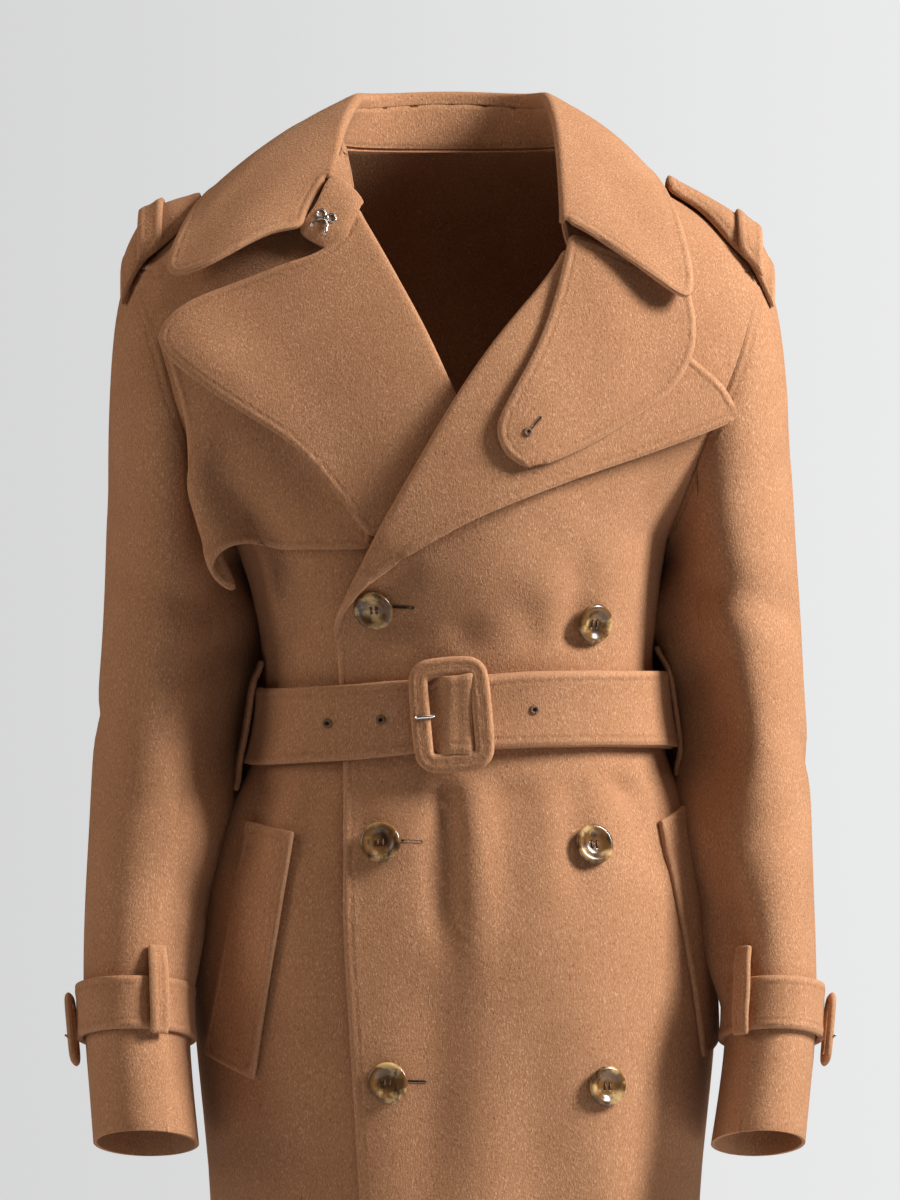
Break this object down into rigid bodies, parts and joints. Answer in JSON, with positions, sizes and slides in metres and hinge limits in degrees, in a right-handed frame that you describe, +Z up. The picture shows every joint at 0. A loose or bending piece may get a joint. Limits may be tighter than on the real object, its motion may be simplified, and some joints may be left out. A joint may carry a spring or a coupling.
{
  "type": "belted long coat",
  "caption": "Long double-breasted wool coat with wide lapels, storm flap, shoulder straps, buckled belt and cuff straps, open as worn.",
  "frame": {"origin": "at the base of the neck, midway between the shoulders, where the coat hangs when worn", "axes": "+Z up along the coat, front facing -Y, wearer's left side towards +X"},
  "size_m": [0.5365, 0.3207, 1.1845],
  "materials": {
    "wool": "soft brushed camel double-faced wool",
    "horn": "polished mottled brown horn",
    "silver_metal": "bright silver wire"
  },
  "bodies": {
    "root": {"back": "wool", "belt": "wool", "belt_buckle": "wool", "belt_loop_left": "wool", "belt_loop_right": "wool", "collar_leaf": "wool", "collar_stand": "wool", "collar_stand_end": "wool", "cuff_buckle_left": "wool", "cuff_buckle_right": "wool", "cuff_loop_left": "wool", "cuff_loop_right": "wool", "cuff_strap_left": "wool", "cuff_strap_right": "wool", "epaulette_left": "wool", "epaulette_right": "wool", "epaulette_loop_left": "wool", "epaulette_loop_right": "wool", "front_left": "wool", "front_right": "wool", "pocket_welt_left": "wool", "pocket_welt_right": "wool", "sleeve_left_top": "wool", "sleeve_left_under": "wool", "sleeve_right_top": "wool", "sleeve_right_under": "wool", "storm_flap": "wool", "throat_flap": "wool", "button_upper_left": "horn", "button_upper_right": "horn", "button_middle_left": "horn", "button_middle_right": "horn", "button_lower_left": "horn", "button_lower_right": "horn", "belt_bar": "silver_metal", "belt_prong": "silver_metal", "collar_hook": "silver_metal", "cuff_prong_left": "silver_metal", "cuff_prong_right": "silver_metal"}
  },
  "joints": []
}
